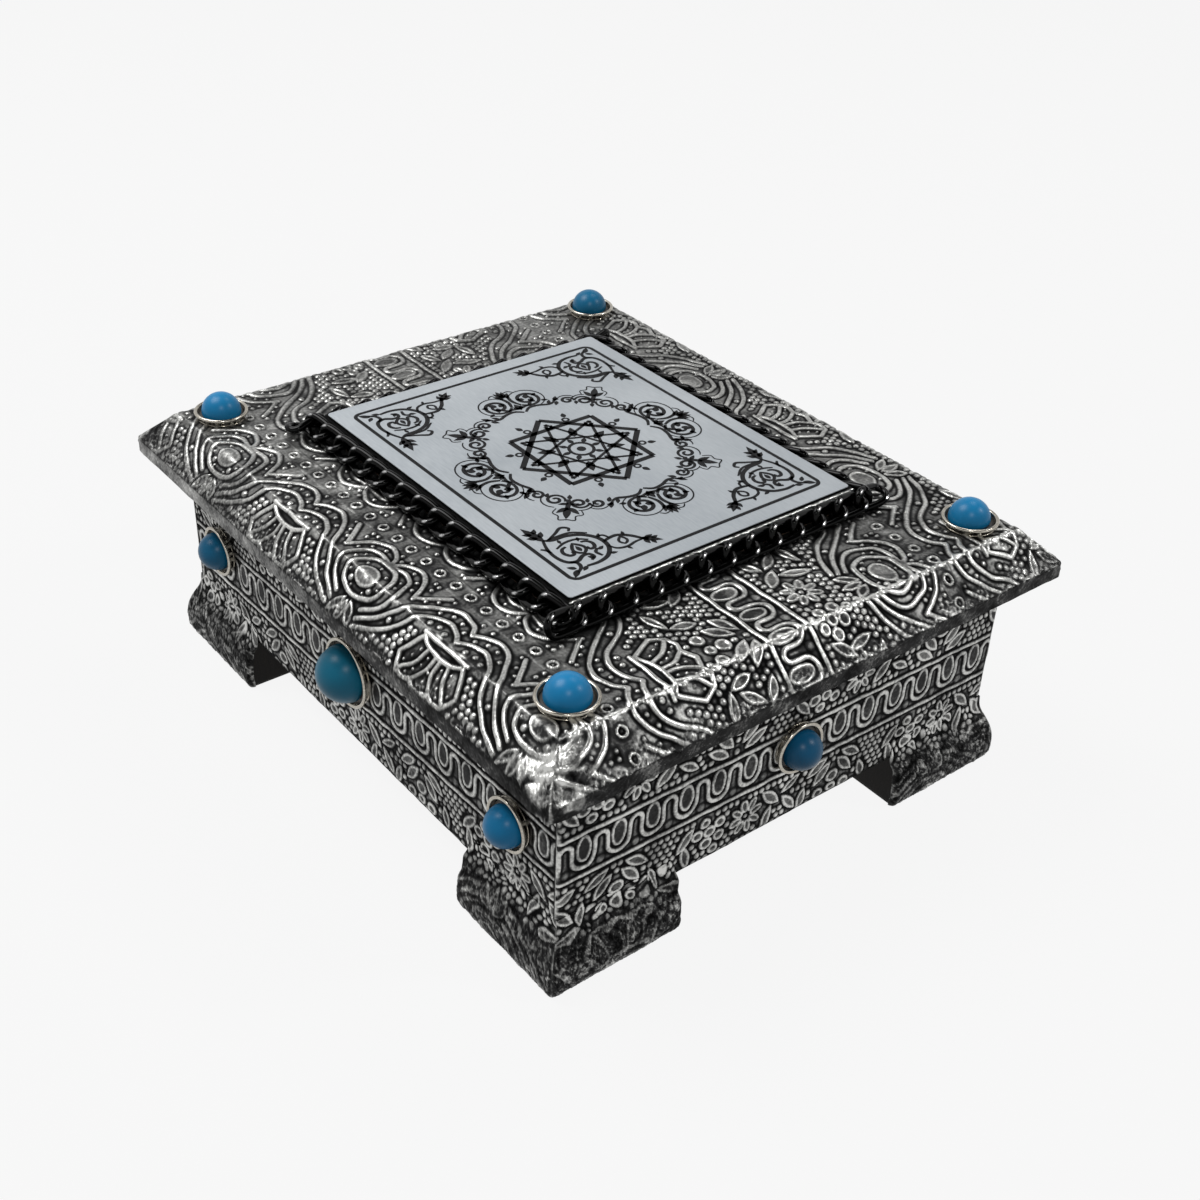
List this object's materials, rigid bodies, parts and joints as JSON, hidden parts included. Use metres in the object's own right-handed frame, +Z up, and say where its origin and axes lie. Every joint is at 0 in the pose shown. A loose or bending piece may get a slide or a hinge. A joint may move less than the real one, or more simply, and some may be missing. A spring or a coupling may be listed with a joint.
{
  "type": "quran box",
  "caption": "Footed wooden book box clad in embossed antique silver foil, with a hinged bevelled lid, a raised title plate in a chain border and turquoise cabochons.",
  "frame": {"origin": "middle of the floor under the feet", "axes": "+Z up, -Y towards the front, +Y towards the hinges, +X to the right seen from the front"},
  "size_m": [0.17, 0.2, 0.0823],
  "materials": {
    "board": "dark stained fibreboard",
    "black_wood": "black painted",
    "foil": "embossed, with dark patina in the recesses",
    "velvet": "short pile",
    "bezel": "warm polished nickel silver",
    "stone": "polished turquoise resin",
    "plate": "satin, printed in black",
    "chain": "glossy gunmetal",
    "hinge": "polished"
  },
  "bodies": {
    "case": {"front_wall": "board", "back_wall": "board", "left_wall": "board", "right_wall": "board", "floor_board": "board", "front_foil": "foil", "back_foil": "foil", "left_foil": "foil", "right_foil": "foil", "foot_front_left": "black_wood", "foot_front_right": "black_wood", "foot_back_left": "black_wood", "foot_back_right": "black_wood", "foot_foil_front_left": "foil", "foot_foil_front_right": "foil", "foot_foil_back_left": "foil", "foot_foil_back_right": "foil", "floor_pad": "velvet", "front_card": "velvet", "back_card": "velvet", "left_card": "velvet", "right_card": "velvet", "left_bezels": "bezel", "right_bezels": "bezel", "front_bezel": "bezel", "left_stone_front": "stone", "left_stone_middle": "stone", "left_stone_back": "stone", "right_stone_front": "stone", "right_stone_middle": "stone", "right_stone_back": "stone", "front_stone": "stone", "left_hinge_case_leaf": "hinge", "right_hinge_case_leaf": "hinge", "left_hinge_pin": "hinge", "right_hinge_pin": "hinge", "case_hinge_screws": "hinge"},
    "lid": {"lid_board": "board", "lid_foil": "foil", "riser_board": "board", "riser_foil": "foil", "title_plate": "plate", "chain_front": "chain", "chain_back": "chain", "chain_left": "chain", "chain_right": "chain", "lid_bezels": "bezel", "lid_stone_front_left": "stone", "lid_stone_front_right": "stone", "lid_stone_back_left": "stone", "lid_stone_back_right": "stone", "lid_pad": "velvet", "left_hinge_lid_leaf": "hinge", "right_hinge_lid_leaf": "hinge", "lid_hinge_screws": "hinge"}
  },
  "joints": [
    {"name": "lid_hinge", "type": "hinge", "parent": "case", "child": "lid", "pos_m": [0, 0.0924, 0.0621], "axis": [-1, 0, 0], "range_deg": [0, 100]}
  ]
}
